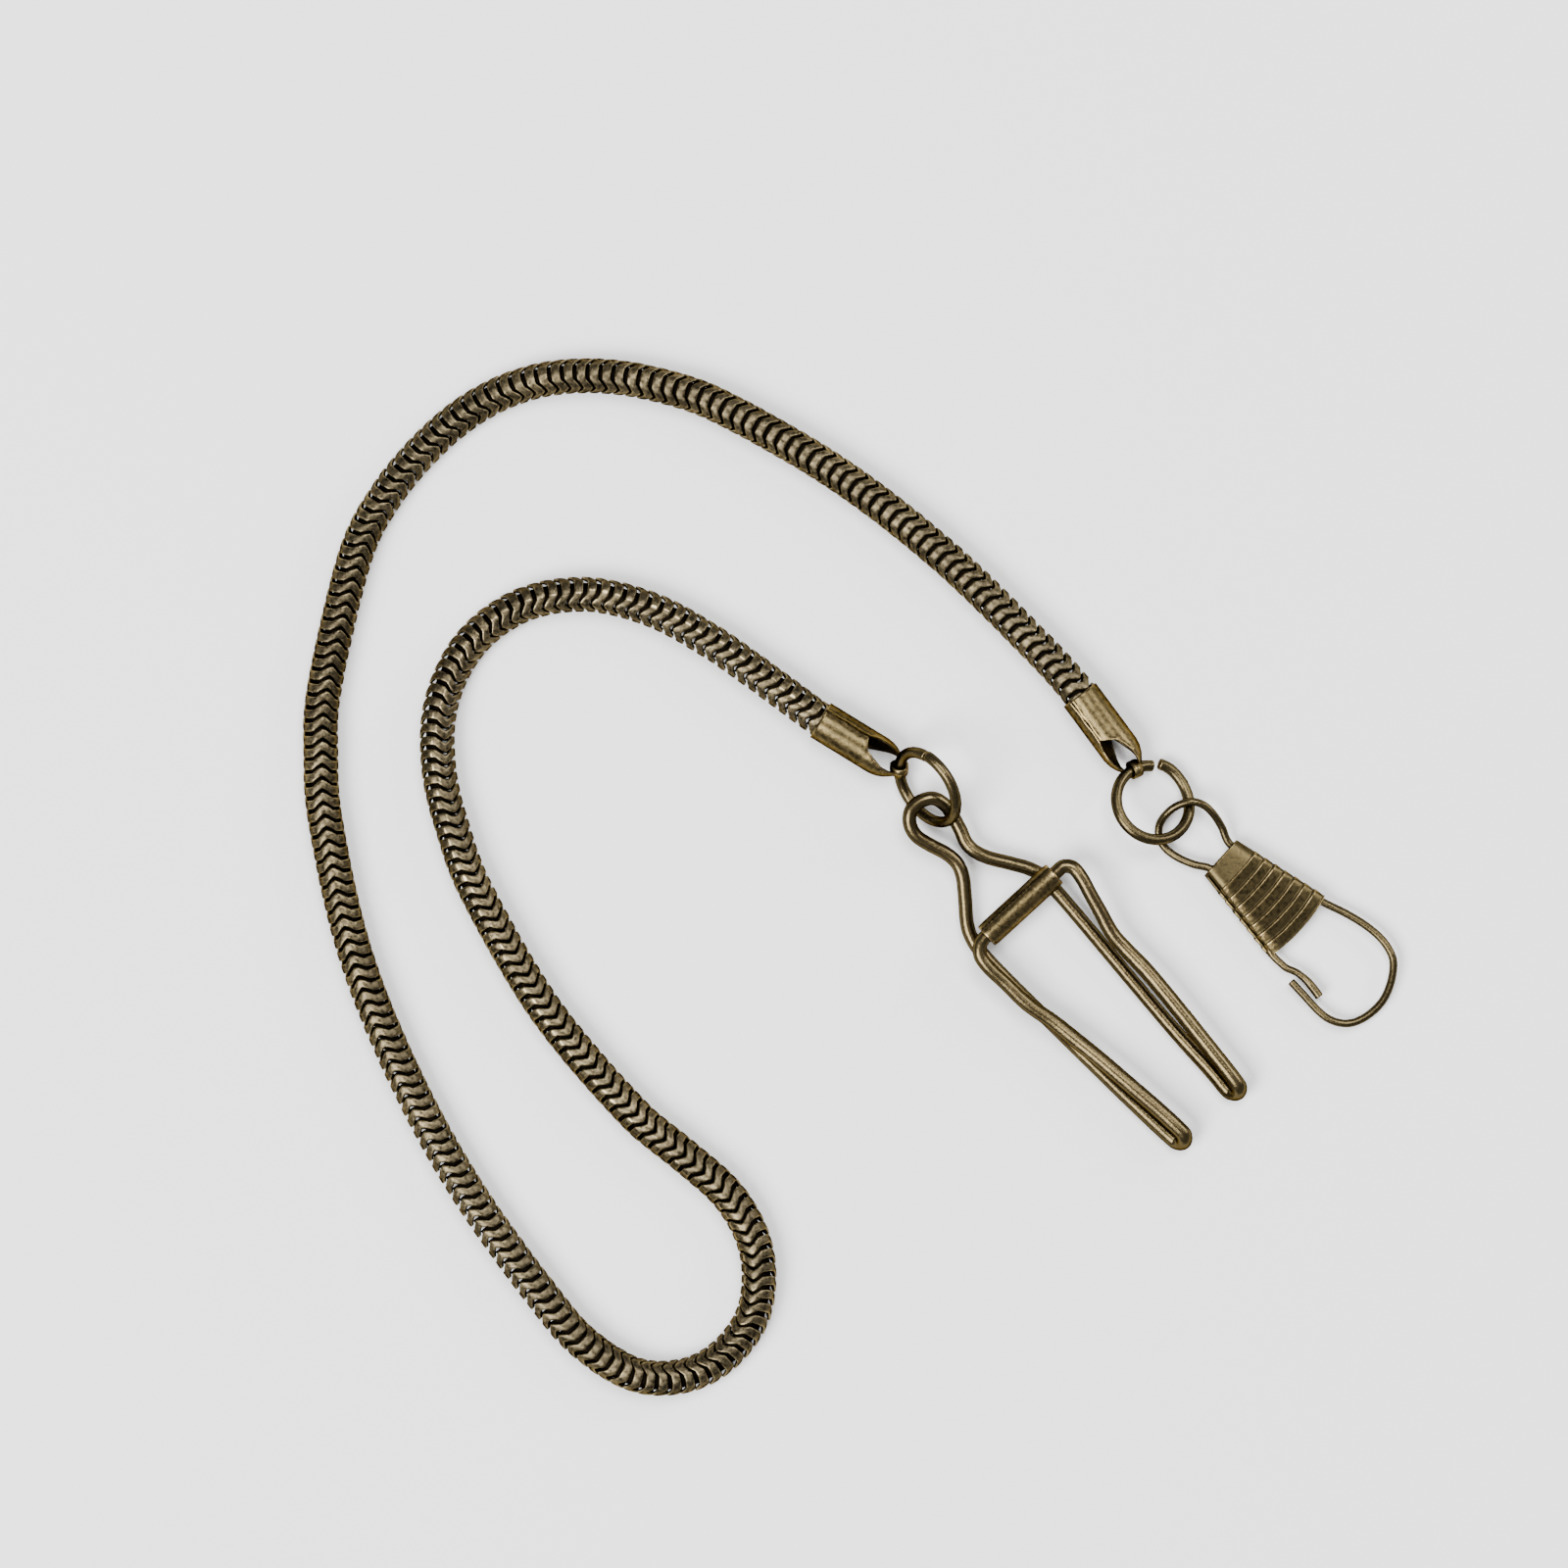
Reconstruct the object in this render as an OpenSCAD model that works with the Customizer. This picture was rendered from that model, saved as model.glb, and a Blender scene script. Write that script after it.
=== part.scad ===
// Pocket watch chain: a round snake chain with crimped end caps, two jump rings,
// a spring wire clip for the trouser band and a wire snap hook for the watch.
// It lies on a flat surface at z = 0, with the chain led round in an open loop.

/* [Snake chain] */
// Outside diameter of the chain
chain_d = 3.2; // [3:0.05:3.22]
// Distance from one link to the next along the chain
link_pitch = 1.151; // [1.14:0.001:1.16]
// Length of a link's band along the chain
band_len = 0.8; // [0.7:0.01:0.84]
// Height of the three forward points of a link
wave_h = 0.6; // [0.4:0.01:0.64]
// Thickness of a link's wall
link_wall = 0.3; // [0.22:0.01:0.34]
// Outside diameter of the collar that nests in the next link
collar_d = 2.1; // [1.8:0.05:2.15]

/* [End caps] */
// Outside diameter of an end cap
cap_d = 3.64; // [3.6:0.01:3.8]
// Length of the rolled tube of an end cap
cap_tube_len = 4.7; // [4:0.1:5]
// Distance from the cap's mouth to its eye
cap_eye_x = 8.4; // [8.35:0.05:8.45]

/* [Jump rings] */
// Diameter of the jump ring wire
ring_wire_d = 1.06; // [0.9:0.01:1.08]
// Radius of the clip ring to the middle of its wire
clip_ring_r = 3.55; // [3.52:0.01:3.58]
// Radius of the hook ring to the middle of its wire
hook_ring_r = 3.5; // [3.47:0.01:3.53]

/* [Clip] */
// Diameter of the clip wire
clip_wire_d = 1.3; // [1.1:0.05:1.35]
// Diameter of the clip wire where it is upset towards the tips
clip_tip_d = 1.48; // [1.3:0.02:1.5]
// Outside diameter of the sleeve on the cross bar
sleeve_d = 2.4; // [2.1:0.05:2.5]
// Length of the sleeve
sleeve_len = 8.4; // [7.5:0.1:8.5]

/* [Snap hook] */
// Diameter of the snap hook wire
hook_wire_d = 0.72; // [0.6:0.01:0.75]
// Thickness of the crimped barrel over its ridges
barrel_h = 2.2; // [2:0.05:2.3]
// Number of ridges pressed across the barrel
ridges = 7; // [5:1:8]

/* [Hidden] */
segments = 42;
links_per_segment = 6;
links = segments * links_per_segment;
antique = "#6f6340";
dark_antique = "#5a5138";
bright_antique = "#857649";
$fn = 32;

function two_digits(k) = str(k < 10 ? "0" : "", k);
function segment_name(k) = str("chain_segment_", two_digits(k));

// ---------- curves ----------

// One stretch of a Catmull-Rom curve from b to c.
function curve_point(a, b, c, d, t) =
    0.5 * (2 * b + (c - a) * t + (2 * a - 5 * b + 4 * c - d) * t * t + (3 * b - a - 3 * c + d) * t * t * t);
// A curve through all points but the first and the last, which only set its end directions.
function curve(points, steps) = concat(
    [for (i = [1:len(points) - 3], j = [0:steps - 1])
        curve_point(points[i - 1], points[i], points[i + 1], points[i + 2], j / steps)],
    [points[len(points) - 2]]);
// Adds a guide point at each end, straight on from the path.
function with_guides(points) = let (n = len(points)) concat(
    [2 * points[0] - points[1]], points, [2 * points[n - 1] - points[n - 2]]);
function unit(v) = v / norm(v);
function direction(path, i) = unit(path[min(i + 1, len(path) - 1)] - path[max(i - 1, 0)]);
function square_to(v, along) = unit(v - (v * along) * along);
// A side direction for each of a path's directions, carried along without twisting.
function sides(ways, start) = [
    for (i = 0, side = square_to(start, ways[0]); i < len(ways);
        i = i + 1, side = i < len(ways) ? square_to(side, ways[i]) : side) side];

// A round wire along a path, with one radius for each point of the path. Its ends are cut
// square to first_way and last_way, where these are given.
module wire(path, radii, first_way = undef, last_way = undef, around = 10) {
    last_point = len(path) - 1;
    ways = [for (i = [0:last_point])
        i == 0 && first_way != undef ? first_way
        : i == last_point && last_way != undef ? last_way
        : direction(path, i)];
    side = sides(ways, [0.31, 0.2, 0.17]);
    points = [for (i = [0:last_point]) let (up = side[i], across = cross(ways[i], up))
        for (a = [0:around - 1])
            path[i] + radii[i] * (cos(360 * a / around) * up + sin(360 * a / around) * across)];
    faces = concat(
        [[for (a = [0:around - 1]) a]],
        [for (i = [0:last_point - 1], a = [0:around - 1]) let (b = (a + 1) % around)
            [i * around + a, (i + 1) * around + a, (i + 1) * around + b]],
        [for (i = [0:last_point - 1], a = [0:around - 1]) let (b = (a + 1) % around)
            [i * around + a, (i + 1) * around + b, i * around + b]],
        [[for (a = [around - 1:-1:0]) last_point * around + a]]);
    polyhedron(points, faces);
}
function same_radius(path, d) = [for (p = path) d / 2];

// ---------- route of the snake chain ----------

// The middle of the chain as it lies, from inside the clip end cap to inside the hook end cap.
route = [
    [-1.2, 13.5], [-3.1, 14.7], [-8, 18.3], [-12.9, 21.7], [-18.2, 24.5], [-24, 25.8], [-29.8, 24.8],
    [-34.5, 21.3], [-37.1, 15.9], [-37.3, 9.9], [-35.9, 4.1], [-33.7, -1.5], [-27.6, -11.9],
    [-19.9, -21], [-15.3, -24.9], [-10.8, -29], [-8.4, -34.2], [-9, -40], [-13, -44.3],
    [-18.6, -45.2], [-23.8, -42.4], [-27.9, -37.8], [-34.9, -28], [-40.6, -17.5], [-45, -6.4],
    [-47.6, 5.3], [-48, 11.3], [-47.7, 17.2], [-45, 28.9], [-42.4, 34.3], [-38.6, 39], [-34, 42.8],
    [-28.6, 45.1], [-22.6, 45.6], [-16.7, 44.6], [-11.1, 42.5], [-0.8, 36.5], [8.7, 29.1],
    [17.3, 20.7], [20.7, 16.9], [21.8, 15.3]];
route_line = curve(with_guides(route), 12);
route_steps = [for (i = [1:len(route_line) - 1]) norm(route_line[i] - route_line[i - 1])];
route_s = [for (i = 0, s = 0; i < len(route_line);
    s = s + (i < len(route_steps) ? route_steps[i] : 0), i = i + 1) s];
route_x = [for (i = [0:len(route_line) - 1]) [route_s[i], route_line[i].x]];
route_y = [for (i = [0:len(route_line) - 1]) [route_s[i], route_line[i].y]];
route_len = route_s[len(route_s) - 1];
// The chain lies on the surface, and rises a little into each end cap.
chain_r = chain_d / 2;
cap_z = cap_d / 2;
route_z = [[0, cap_z], [3, cap_z], [14, chain_r], [route_len - 14, chain_r],
    [route_len - 3, cap_z], [route_len, cap_z]];
// How far the links' points are rolled to the left of straight up, along the chain.
route_roll = [[0, 26], [25, 33], [37, 37], [54, 25], [64, 20], [74, 16], [84, 10], [93, 2],
    [100, -12], [114, -34], [122, -53], [132, -88], [144, -94], [156, -99], [172, -114],
    [184, -126], [191, -133], [206, -142], [213, -152], [225, -162], [240, -172], [260, -186],
    [279, -204], [300, -208]];
function route_at(s) = [lookup(s, route_x), lookup(s, route_y), lookup(s, route_z)];

// ---------- links ----------

inner_r = chain_r - link_wall;
collar_r = collar_d / 2;
collar_wall = 0.2;
collar_end = 1.5;
web_s = wave_h + 0.02;
web_len = 0.12;
blunt = 0.05;
// A link's edge falls from each point over this angle, and runs level between.
flank_a = 33;
flank_w = chain_r * sin(flank_a);
hollow_w = chain_r * sin(60 - flank_a);
crest_w = chain_r * sin(60);

// A link along +Z from z = 0, with its first point towards +X.
module link() {
    difference() {
        cylinder(r = chain_r, h = band_len + wave_h - blunt);
        translate([0, 0, -1])
            cylinder(r = inner_r, h = 4);
        for (k = [0:2]) {
            rotate([0, 0, 120 * k])
                radial_prism([[-flank_w, 0], [-flank_w, -1], [flank_w, -1], [flank_w, 0], [0, wave_h]]);
            rotate([0, 0, 60 + 120 * k])
                radial_prism([[-crest_w, 3], [-crest_w, band_len + wave_h], [-hollow_w, band_len],
                    [hollow_w, band_len], [crest_w, band_len + wave_h], [crest_w, 3]]);
        }
    }
    rotate_extrude()
        polygon([[collar_r - collar_wall, web_s], [inner_r + 0.1, web_s], [inner_r + 0.1, web_s + web_len],
            [collar_r, web_s + web_len], [collar_r, collar_end], [collar_r - collar_wall, collar_end]]);
}
// An outline across (x) and along (y) the chain, extended outwards along +X.
module radial_prism(outline) {
    translate([0.4, 0, 0])
        rotate([90, 0, 90])
            linear_extrude(2)
                polygon(outline);
}
// Puts a shape made along +Z at one link's place on the route.
module at_link(i) {
    s = i * link_pitch;
    here = route_at(s);
    step = route_at(s + link_pitch) - here;
    translate(here)
        rotate([0, -asin(step.z / norm(step)), atan2(step.y, step.x)])
            rotate([0, 90, 0])
                rotate([0, 0, 180 - lookup(s, route_roll)])
                    children();
}
module chain_segment(k) {
    color(k % 2 == 0 ? antique : bright_antique)
        for (i = [(k - 1) * links_per_segment:k * links_per_segment - 1])
            at_link(i)
                link();
}

// ---------- end caps ----------

cap_wall = 0.15;
seam_w = 0.16;
eye_bore = 0.64;
eye_rim = 0.3;
eye_w = 0.8;
// Outside and inside of the two straps that run from the tube to the eye, on one side.
strap_outer = [[4.1, 1.8], [5, 1.8], [5.9, 1.7], [6.7, 1.4], [7.3, 1], [7.6, 0.78]];
strap_inner = [[7.6, 0.2], [7.3, 0.5], [6.8, 0.88], [6.2, 1.18], [5.6, 1.36], [4.9, 1.46], [4.1, 1.66]];
strap_sides = [[4.1, -1.3], [5, -1.25], [6.4, -0.85], [7.6, -0.5], [7.6, 0.5], [6.4, 0.85], [5, 1.25], [4.1, 1.3]];

// An end cap along +X with its mouth at the origin. The seam is turned from straight up,
// and the eye lies round a wire that runs along eye_axis.
module end_cap(seam_turn, eye_axis, eye_z) {
    difference() {
        rotate([0, 90, 0])
            cylinder(d = cap_d, h = cap_tube_len + 0.2);
        translate([-1, 0, 0])
            rotate([0, 90, 0])
                cylinder(d = cap_d - 2 * cap_wall, h = cap_tube_len + 3);
        rotate([seam_turn, 0, 0])
            translate([-1, -seam_w / 2, 0])
                cube([cap_tube_len + 3, seam_w, 3]);
        translate([cap_tube_len, -1.15, -3])
            cube([3, 2.3, 6]);
    }
    intersection() {
        translate([0, 0, -2])
            linear_extrude(4)
                for (side = [-1, 1])
                    polygon([for (p = concat(strap_outer, strap_inner)) [p.x, side * p.y]]);
        rotate([90, 0, 0])
            translate([0, 0, -3])
                linear_extrude(6)
                    polygon([for (p = strap_sides) [p.x, p.y + eye_z * max(0, p.x - 5) / 3]]);
        rotate([0, 90, 0])
            cylinder(r = cap_d / 2 - 0.01, h = 12);
    }
    translate([cap_eye_x, 0, eye_z])
        rotate([0, acos(eye_axis.z), atan2(eye_axis.y, eye_axis.x)])
            difference() {
                cylinder(r = eye_bore + eye_rim, h = eye_w, center = true);
                cylinder(r = eye_bore, h = eye_w + 1, center = true);
            }
}

clip_cap_at = [-2.7, 14.4, cap_z];
clip_cap_turn = -31.5;
hook_cap_at = [20.8, 16.7, cap_z];
hook_cap_turn = -53.5;
function turned(v, a) = [v.x * cos(a) - v.y * sin(a), v.x * sin(a) + v.y * cos(a), v.z];
function cap_eye(at, turn, z) = at + turned([cap_eye_x, 0, z], turn);

// ---------- jump rings ----------

clip_ring_eye_z = -0.02;
hook_ring_eye_z = 0;
clip_eye_at = cap_eye(clip_cap_at, clip_cap_turn, clip_ring_eye_z);
hook_eye_at = cap_eye(hook_cap_at, hook_cap_turn, hook_ring_eye_z);
// Each ring's plane: turn of its level axis, tilt about it, and where on the ring the cap's eye sits.
clip_ring_turn = -57;
clip_ring_tilt = 57;
clip_ring_eye_a = -142;
hook_ring_turn = -44;
hook_ring_tilt = -26;
hook_ring_eye_a = 160;
function ring_point(turn, tilt, r, a) =
    turned([r * cos(a), r * sin(a) * cos(tilt), r * sin(a) * sin(tilt)], turn);
function ring_way(turn, tilt, a) =
    turned([-sin(a), cos(a) * cos(tilt), cos(a) * sin(tilt)], turn);
clip_ring_at = clip_eye_at - ring_point(clip_ring_turn, clip_ring_tilt, clip_ring_r, clip_ring_eye_a);
hook_ring_at = hook_eye_at - ring_point(hook_ring_turn, hook_ring_tilt, hook_ring_r, hook_ring_eye_a);
clip_eye_axis = turned(ring_way(clip_ring_turn, clip_ring_tilt, clip_ring_eye_a), -clip_cap_turn);
hook_eye_axis = turned(ring_way(hook_ring_turn, hook_ring_tilt, hook_ring_eye_a), -hook_cap_turn);

// A split ring of round wire, with its cut ends about the angle gap_a.
module jump_ring(at, turn, tilt, r, gap_a, gap) {
    translate(at)
        rotate([0, 0, turn])
            rotate([tilt, 0, 0])
                rotate([0, 0, gap_a + gap / 2])
                    rotate_extrude(angle = 360 - gap)
                        translate([r, 0])
                            circle(d = ring_wire_d, $fn = 48);
}

// ---------- clip ----------

// Middle line of the back wire: left tip, left leg, neck, loop, neck, right leg, right tip.
tip_left = [30.2, -23.85, 1.49];
tip_right = [35.15, -19.35, 1.49];
tip_out = unit([0.684, -0.729, 0]);
hairpin_r = 0.9;
// The hairpin bends at the tips lean over, so the front wires lie beside the back wire.
lean_a = 35;
lean = [0, 0, cos(lean_a)] + sin(lean_a) * unit([0.729, 0.684, 0]);
split = 0.01 * lean;
// A point on the hairpin bend at a tip, at an angle from the tip towards the front wire.
function hairpin(tip, a) = tip - hairpin_r * (1 - cos(a)) * tip_out + hairpin_r * sin(a) * lean;
back_line = [[27.3, -21.8, 0.7], [24.2, -18.9, 0.67], [21.3, -16.1, 0.7], [14.8, -9.7, 0.95],
    [12.1, -6.9, 1.05], [11.1, -5.5, 1.12], [10.6, -4, 1.2], [10.4, -1.5, 1.35], [10.2, 0.2, 1.5],
    [9.7, 1.4, 1.65], [8.7, 2.3, 1.85], [7.2, 3.1, 2.1], [6, 3.9, 2.35], [5.4, 5, 2.6], [5.5, 6.2, 2.8],
    [6.3, 7, 2.85], [7.5, 7.3, 2.8], [8.6, 6.7, 2.5], [9.3, 5.7, 2.15], [10, 4.4, 1.95], [10.5, 3.3, 1.9],
    [11.3, 2.5, 1.85], [12.6, 1.9, 1.7], [14.6, 1.4, 1.5], [16.3, 0.9, 1.35], [17.5, 0.2, 1.22],
    [18.7, -1.1, 1.15], [20.6, -3.3, 1.05], [28.6, -12.8, 0.7], [32.7, -17.3, 0.7]];
// Middle line of the left front wire from its tip to the middle of the cross bar.
front_left_line = [[28.1, -21.1, 2.32], [25.1, -18.5, 2.4], [22.4, -16.2, 2.35],
    [20.3, -14.5, 2.3], [18.3, -12.9, 2.35], [16, -11.3, 2.6], [14, -9.4, 2.85], [12.6, -8.1, 3.05],
    [11.8, -7, 3.15], [11.75, -6, 3.2]];
front_right_line = [[33.4, -16.4, 2.32], [29.4, -11.4, 2.4], [26.9, -8.4, 2.35],
    [24.9, -6.3, 2.35], [23.7, -4.9, 2.5], [22.6, -2.9, 2.8], [21.7, -1.3, 3.05], [21, 0, 3.15],
    [20.2, 1, 3.2], [19.3, 1.15, 3.2]];
sleeve_left = [12.3, -5.2, 3.2];
sleeve_right = [18.5, 0.5, 3.2];
bar = unit(sleeve_right - sleeve_left);
bar_middle = (sleeve_left + sleeve_right) / 2;
butt_gap = 0.1;
sleeve_play = 0.24;

// The clip wire's radius along a path, which is thicker near its tip ends.
function clip_radii(path, at_distances, both_ends = false) = let (n = len(path) - 1)
    [for (i = [0:n]) lookup(both_ends ? min(i, n - i) : i, at_distances) / 2];
thick_back_tips = [[0, clip_tip_d], [3, clip_tip_d], [14, clip_wire_d]];
thick_front_legs = [[0, clip_tip_d], [20, clip_tip_d], [32, clip_wire_d]];

module clip_back_wire() {
    path = curve(concat([hairpin(tip_left, 45), tip_left - split],
        [for (a = [-45, -90]) hairpin(tip_left, a)], back_line,
        [for (a = [-90, -45]) hairpin(tip_right, a)],
        [tip_right - split, hairpin(tip_right, 45)]), 3);
    color(antique)
        wire(path, clip_radii(path, thick_back_tips, true), -lean, lean);
}
module clip_front_wire(tip, line, bar_end, way) {
    path = curve(concat([hairpin(tip, -45), tip + split], [for (a = [45, 90]) hairpin(tip, a)], line,
        [bar_end - 0.3 * way, bar_end + 0.5 * way, bar_middle - butt_gap / 2 * way, bar_middle]), 3);
    color(antique)
        wire(path, clip_radii(path, thick_front_legs), lean);
}
module clip_front_wire_left() {
    clip_front_wire(tip_left, front_left_line, sleeve_left, bar);
}
module clip_front_wire_right() {
    clip_front_wire(tip_right, front_right_line, sleeve_right, -bar);
}
module clip_sleeve() {
    color(bright_antique)
        translate(bar_middle)
            rotate([0, 90, atan2(bar.y, bar.x)])
                difference() {
                    cylinder(d = sleeve_d, h = sleeve_len, center = true);
                    cylinder(d = clip_wire_d + sleeve_play, h = sleeve_len + 1, center = true);
                }
}

// ---------- snap hook ----------

barrel_at = [33.7, 2];
barrel_turn = -42;
barrel_len = 9.3;
barrel_wall = 0.24;
wire_z = 1.12;
// Half widths of the barrel at its narrow and wide ends, and how far the wide end bows out.
narrow_half = 2.1;
wide_half = 3.7;
bow = 0.5;
ridge_start = 2;
ridge_rise = 0.18;
fold_gap = 0.26;
// The fold is spread where the gate comes out of it.
gate_mouth_x = 7.9;
gate_mouth_h = 1;
function barrel_half(x) = narrow_half + (wide_half - narrow_half) * x / barrel_len;
// Half outline of the barrel seen from above, moved in by inset.
function barrel_side(inset) = [[0, narrow_half - inset], [barrel_len, wide_half - inset],
    [barrel_len + bow * 0.55, (wide_half - inset) * 0.6], [barrel_len + bow, 0]];
function mirrored(points) = concat(points,
    [for (i = [len(points) - 2:-1:0]) [points[i].x, -points[i].y]]);
ridge_pitch = (barrel_len - ridge_start) / ridges;
// Side view of the barrel's top: a plain lip, then the ridges as low steps.
barrel_top = concat([[-1, barrel_h / 2 - ridge_rise], [ridge_start - 0.3, barrel_h / 2 - ridge_rise]],
    [for (k = [0:ridges - 1]) each [
        [ridge_start + k * ridge_pitch, barrel_h / 2],
        [ridge_start + (k + 0.92) * ridge_pitch, barrel_h / 2 - ridge_rise]]],
    [[barrel_len + 1, barrel_h / 2 - ridge_rise]]);

module hook_barrel() {
    color(dark_antique)
        translate([barrel_at.x, barrel_at.y, wire_z])
            rotate([0, 0, barrel_turn])
                difference() {
                    intersection() {
                        translate([0, 0, -2])
                            linear_extrude(4)
                                polygon(mirrored(barrel_side(0)));
                        rotate([90, 0, 0])
                            translate([0, 0, -5])
                                linear_extrude(10)
                                    polygon(concat(barrel_top,
                                        [for (i = [len(barrel_top) - 1:-1:0]) [barrel_top[i].x, -barrel_top[i].y]]));
                    }
                    translate([0, 0, ridge_rise + barrel_wall - barrel_h / 2])
                        linear_extrude(barrel_h - 2 * (ridge_rise + barrel_wall))
                            polygon([for (x = [-1, barrel_len + 2], side = x < 0 ? [-1, 1] : [1, -1])
                                [x, side * (barrel_half(x) - barrel_wall)]]);
                    translate([-1, -wide_half - 1, -fold_gap / 2])
                        cube([barrel_len + 3, 4, fold_gap]);
                    translate([gate_mouth_x, -wide_half - 1, -gate_mouth_h / 2])
                        cube([4, 2, gate_mouth_h]);
                }
}

// The hook wire: from the barrel's left side round the eye, back through the barrel's
// right side and round the open bend to its tip.
hook_line = [[35.6, -2.5, wire_z], [34.4, -1, wire_z], [32.9, 0.8, wire_z], [31.2, 1.3, 1.05],
    [29.8, 1.9, 0.9], [28.8, 2.6, 0.78], [28.2, 3.4, 0.72], [28, 4.3, 0.85], [28.2, 5.2, 1.15],
    [28.9, 6.1, 1.7], [29.8, 6.7, 2.1], [30.9, 7, 2.3], [32, 6.7, 2.22], [32.9, 5.9, 1.95],
    [33.7, 4.7, 1.5], [34.5, 3.1, 1.2], [36.8, 1.6, wire_z], [39, 0.2, wire_z], [42.7, -2, wire_z],
    [45, -3.15, wire_z], [46.8, -4.25, wire_z], [48.2, -5.45, wire_z], [49.1, -6.8, wire_z],
    [49.3, -8, wire_z], [49, -9.6, wire_z], [48.3, -11.1, wire_z], [47.1, -12.3, wire_z],
    [45.8, -13, wire_z], [44.6, -13.1, wire_z], [43.4, -12.7, wire_z], [42.4, -11.9, wire_z],
    [41.2, -10.6, wire_z], [40, -9.3, wire_z]];
gate_pivot = [37.9, -6, wire_z];
gate_line = [gate_pivot, [38.3, -6.9, wire_z], [39, -7.6, wire_z], [39.6, -8.1, wire_z],
    [40.5, -8.5, wire_z], [41.3, -9.1, wire_z], [42, -9.9, wire_z], [42.6, -10.7, wire_z]];
// A ball-ended wire: the first points round the end off about the first point of the path.
function ball_path(path, r) = let (way = direction(path, 0)) concat(
    [for (a = [80, 55, 30]) path[0] - r * sin(a) * way], path);
function ball_radii(path, r) = concat([for (a = [80, 55, 30]) r * cos(a)], [for (p = path) r]);

module hook_wire() {
    path = curve(with_guides(hook_line), 3);
    color(antique)
        wire(path, same_radius(path, hook_wire_d), around = 8);
}
module hook_gate() {
    line = curve(with_guides(gate_line), 3);
    color(bright_antique)
        wire(ball_path(line, hook_wire_d / 2), ball_radii(line, hook_wire_d / 2), around = 8);
}

// ---------- nodes ----------

module clip_jump_ring() {
    color(antique)
        jump_ring(clip_ring_at, clip_ring_turn, clip_ring_tilt, clip_ring_r, 131, 5);
}
module hook_jump_ring() {
    color(antique)
        jump_ring(hook_ring_at, hook_ring_turn, hook_ring_tilt, hook_ring_r, 126, 8);
}
module clip_end_cap() {
    color(bright_antique)
        translate(clip_cap_at)
            rotate([0, 0, clip_cap_turn])
                end_cap(-45, clip_eye_axis, clip_ring_eye_z);
}
module hook_end_cap() {
    color(bright_antique)
        translate(hook_cap_at)
            rotate([0, 0, hook_cap_turn])
                end_cap(36, hook_eye_axis, hook_ring_eye_z);
}

clip_back_wire();
clip_front_wire_left();
clip_front_wire_right();
clip_sleeve();
clip_jump_ring();
clip_end_cap();
for (k = [1:segments])
    chain_segment(k);
hook_end_cap();
hook_jump_ring();
hook_barrel();
hook_wire();
hook_gate();
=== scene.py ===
"""Looks of the pocket watch chain: links, caps, rings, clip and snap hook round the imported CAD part."""

import math
import random

import bpy
import numpy as np
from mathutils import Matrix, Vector


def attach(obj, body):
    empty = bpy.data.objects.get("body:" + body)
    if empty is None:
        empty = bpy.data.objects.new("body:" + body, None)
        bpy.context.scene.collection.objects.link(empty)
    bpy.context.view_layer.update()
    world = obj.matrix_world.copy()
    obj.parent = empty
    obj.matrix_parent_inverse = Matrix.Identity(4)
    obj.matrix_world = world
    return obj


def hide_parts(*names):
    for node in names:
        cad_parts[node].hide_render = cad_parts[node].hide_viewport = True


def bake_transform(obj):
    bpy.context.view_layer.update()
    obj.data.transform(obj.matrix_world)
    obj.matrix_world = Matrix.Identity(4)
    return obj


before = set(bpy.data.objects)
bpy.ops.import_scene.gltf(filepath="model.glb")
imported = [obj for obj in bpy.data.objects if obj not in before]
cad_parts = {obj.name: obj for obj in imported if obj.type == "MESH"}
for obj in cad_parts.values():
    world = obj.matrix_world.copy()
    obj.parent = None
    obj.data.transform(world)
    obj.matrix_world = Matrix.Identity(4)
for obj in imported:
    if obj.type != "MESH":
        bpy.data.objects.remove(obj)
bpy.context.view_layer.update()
MM = 0.001
rng = random.Random(7)

# ---------- sizes, in mm, as in the CAD part ----------

CHAIN_R = 1.6
PITCH = 1.151
SEGMENTS = 42
LINKS_PER_SEGMENT = 6
CAP_R = 1.82
CAP_LENGTH = 8.4
CAP_EYE_X = 8.4
ROUTE = [
    (-1.2, 13.5), (-3.1, 14.7), (-8, 18.3), (-12.9, 21.7), (-18.2, 24.5), (-24, 25.8),
    (-29.8, 24.8), (-34.5, 21.3), (-37.1, 15.9), (-37.3, 9.9), (-35.9, 4.1), (-33.7, -1.5),
    (-27.6, -11.9),
    (-19.9, -21), (-15.3, -24.9), (-10.8, -29), (-8.4, -34.2), (-9, -40), (-13, -44.3),
    (-18.6, -45.2), (-23.8, -42.4), (-27.9, -37.8), (-34.9, -28), (-40.6, -17.5), (-45, -6.4),
    (-47.6, 5.3), (-48, 11.3), (-47.7, 17.2), (-45, 28.9), (-42.4, 34.3), (-38.6, 39), (-34, 42.8),
    (-28.6, 45.1), (-22.6, 45.6), (-16.7, 44.6), (-11.1, 42.5), (-0.8, 36.5), (8.7, 29.1),
    (17.3, 20.7), (20.7, 16.9), (21.8, 15.3)]
# Roll of the links' points to the left of straight up, in degrees, at distances along the chain.
ROLL = [(0, 26), (25, 33), (37, 37), (54, 25), (64, 20), (74, 16), (84, 10), (93, 2),
        (100, -12), (114, -34), (122, -53), (132, -88), (144, -94), (156, -99), (172, -114),
        (184, -126), (191, -133), (206, -142), (213, -152), (225, -162), (240, -172), (260, -186),
        (279, -204), (300, -208)]


# ---------- curves and meshes ----------

def unit(v):
    return v / np.linalg.norm(v)


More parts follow.
